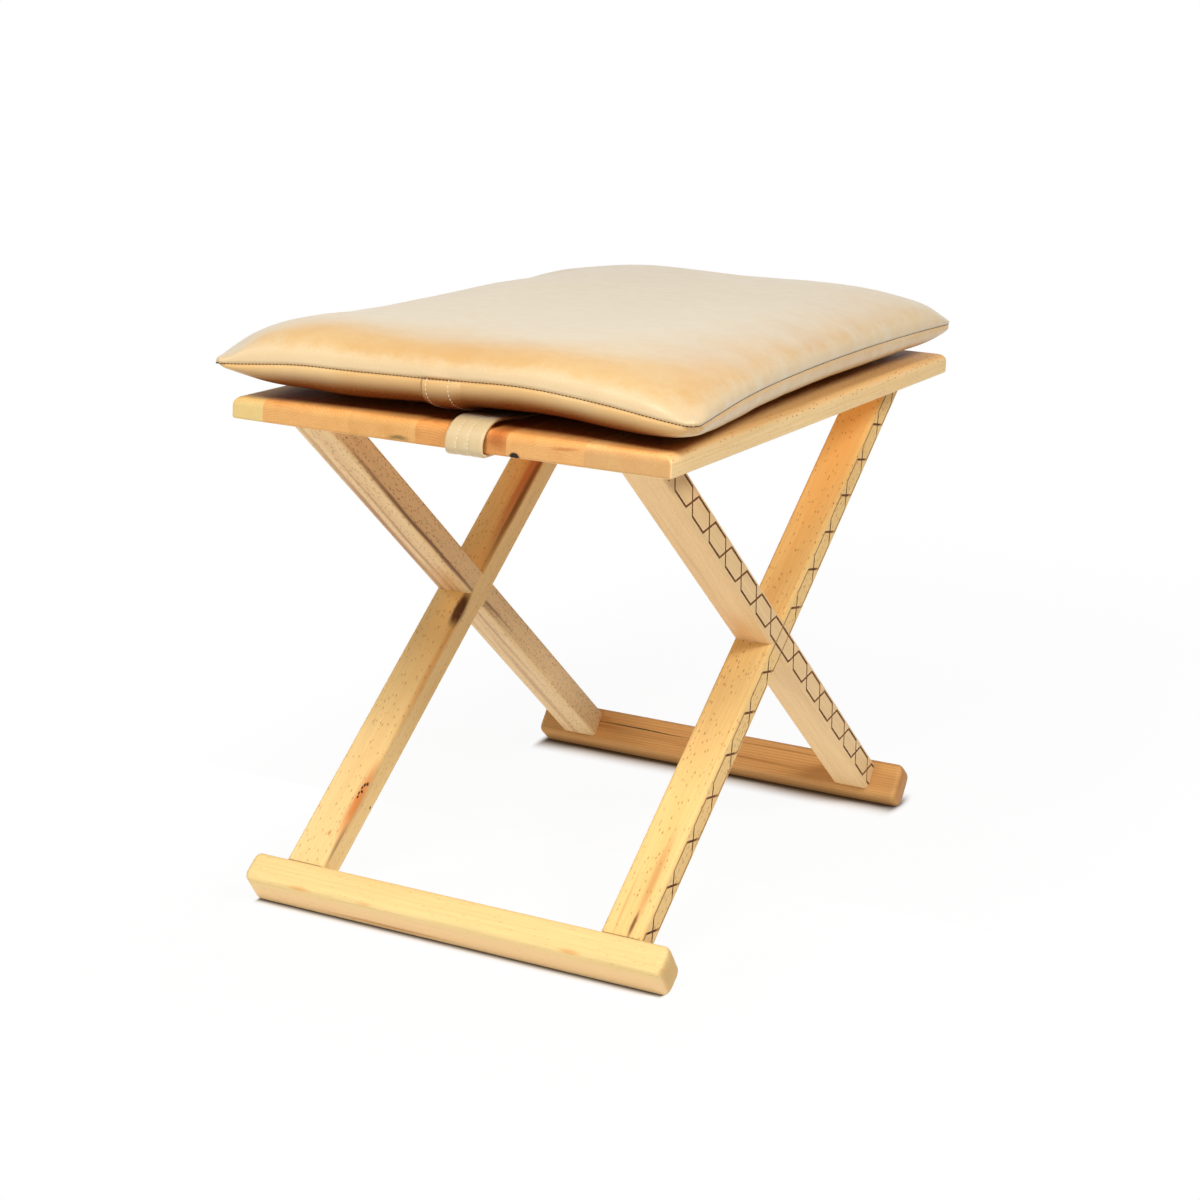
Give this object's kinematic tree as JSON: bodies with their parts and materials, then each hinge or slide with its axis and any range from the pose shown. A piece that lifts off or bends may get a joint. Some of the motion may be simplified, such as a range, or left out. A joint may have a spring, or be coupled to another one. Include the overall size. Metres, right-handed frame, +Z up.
{
  "type": "x-frame stool",
  "caption": "Rigid x-frame stool in oiled beech: halved legs on square-set foot rails, an edge-glued seat board, and a loose tan leather cushion with a strap round the board.",
  "frame": {"origin": "on the floor, under the middle of the seat board", "axes": "+Z up; +X along the foot rails, to the right as seen from the front; -Y to the front, the end of the board that shows its end grain in the picture"},
  "size_m": [0.426, 0.6228, 0.4897],
  "materials": {
    "beech_board": "oiled",
    "beech_leg": "oiled",
    "beech_rail": "oiled",
    "beech_dowel": "plain",
    "tan_leather": "smooth, half gloss",
    "foam": "open cell",
    "brass": "polished"
  },
  "bodies": {
    "frame": {"seat_stave_1": "beech_board", "seat_stave_2": "beech_board", "seat_stave_3": "beech_board", "seat_stave_4": "beech_board", "seat_stave_5": "beech_board", "seat_stave_6": "beech_board", "left_front_leg": "beech_leg", "left_back_leg": "beech_leg", "right_front_leg": "beech_leg", "right_back_leg": "beech_leg", "front_foot_rail": "beech_rail", "back_foot_rail": "beech_rail", "left_front_seat_dowel_1": "beech_dowel", "left_front_seat_dowel_2": "beech_dowel", "left_back_seat_dowel_1": "beech_dowel", "left_back_seat_dowel_2": "beech_dowel", "right_front_seat_dowel_1": "beech_dowel", "right_front_seat_dowel_2": "beech_dowel", "right_back_seat_dowel_1": "beech_dowel", "right_back_seat_dowel_2": "beech_dowel", "left_front_foot_dowel_1": "beech_dowel", "left_front_foot_dowel_2": "beech_dowel", "left_back_foot_dowel_1": "beech_dowel", "left_back_foot_dowel_2": "beech_dowel", "right_front_foot_dowel_1": "beech_dowel", "right_front_foot_dowel_2": "beech_dowel", "right_back_foot_dowel_1": "beech_dowel", "right_back_foot_dowel_2": "beech_dowel"},
    "cushion": {"cushion_top_panel": "tan_leather", "cushion_bottom_left_panel": "tan_leather", "cushion_bottom_right_panel": "tan_leather", "cushion_foam": "foam"},
    "strap": {"cushion_strap": "tan_leather", "strap_stud_post": "brass", "strap_stud_cap": "brass"}
  },
  "joints": [
    {"name": "cushion_lift", "type": "slide", "parent": "frame", "child": "cushion", "axis": [0, 0, 1], "range_m": [0, 0.15]},
    {"name": "strap_slide", "type": "slide", "parent": "frame", "child": "strap", "axis": [1, 0, 0], "range_m": [-0.127, 0.085]}
  ]
}
